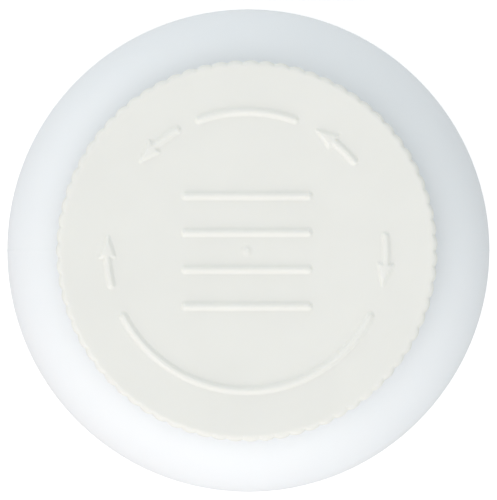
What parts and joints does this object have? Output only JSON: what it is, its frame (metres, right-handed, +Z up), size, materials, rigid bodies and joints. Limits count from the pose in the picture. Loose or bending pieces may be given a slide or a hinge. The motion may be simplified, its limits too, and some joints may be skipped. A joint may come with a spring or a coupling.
{
  "type": "prescription vial",
  "caption": "Round white pharmacy bottle with a threaded neck and a ribbed push-down-and-turn child-resistant closure with raised turning arrows.",
  "frame": {"origin": "centre of the standing ring's plane, under the bottle's axis", "axes": "+Z up along the bottle's axis towards the closure, +Y from the axis towards the short raised bar between the two opening arrows, +X to its right"},
  "size_m": [0.056, 0.056, 0.105],
  "materials": {
    "bottle_white": "satin blow-moulded polyethylene",
    "overcap_ivory": "fine matt moulded polypropylene",
    "inner_cap_natural": "natural moulded polypropylene",
    "spring_natural": "smooth moulded acetal",
    "liner_foam": "fine closed-cell foam with smooth faces"
  },
  "bodies": {
    "bottle": {"bottle": "bottle_white"},
    "liner": {"liner": "liner_foam"},
    "inner_cap": {"inner_cap": "inner_cap_natural"},
    "spring_ring": {"spring_ring": "spring_natural"},
    "outer_cap": {"outer_cap": "overcap_ivory"}
  },
  "joints": [
    {"name": "closure_lift", "type": "slide", "parent": "bottle", "child": "liner", "axis": [0, 0, 1], "range_m": [0, 0.01694]},
    {"name": "closure_turn", "type": "hinge", "parent": "liner", "child": "inner_cap", "pos_m": [0, 0, 0.094], "axis": [0, 0, 1], "range_deg": [0, 1440]},
    {"name": "overcap_spin", "type": "hinge", "parent": "inner_cap", "child": "spring_ring", "pos_m": [0, 0, 0.1], "axis": [0, 0, 1], "continuous": true},
    {"name": "overcap_push", "type": "slide", "parent": "spring_ring", "child": "outer_cap", "axis": [0, 0, -1], "range_m": [0, 0.0016], "stiffness_N_per_m": 5000, "springref_m": -0.0005, "deforming": ["spring_ring"]}
  ],
  "couplings": [
    {"joint": "closure_lift", "follows": "closure_turn", "m_per_rad": 0.00067376}
  ]
}
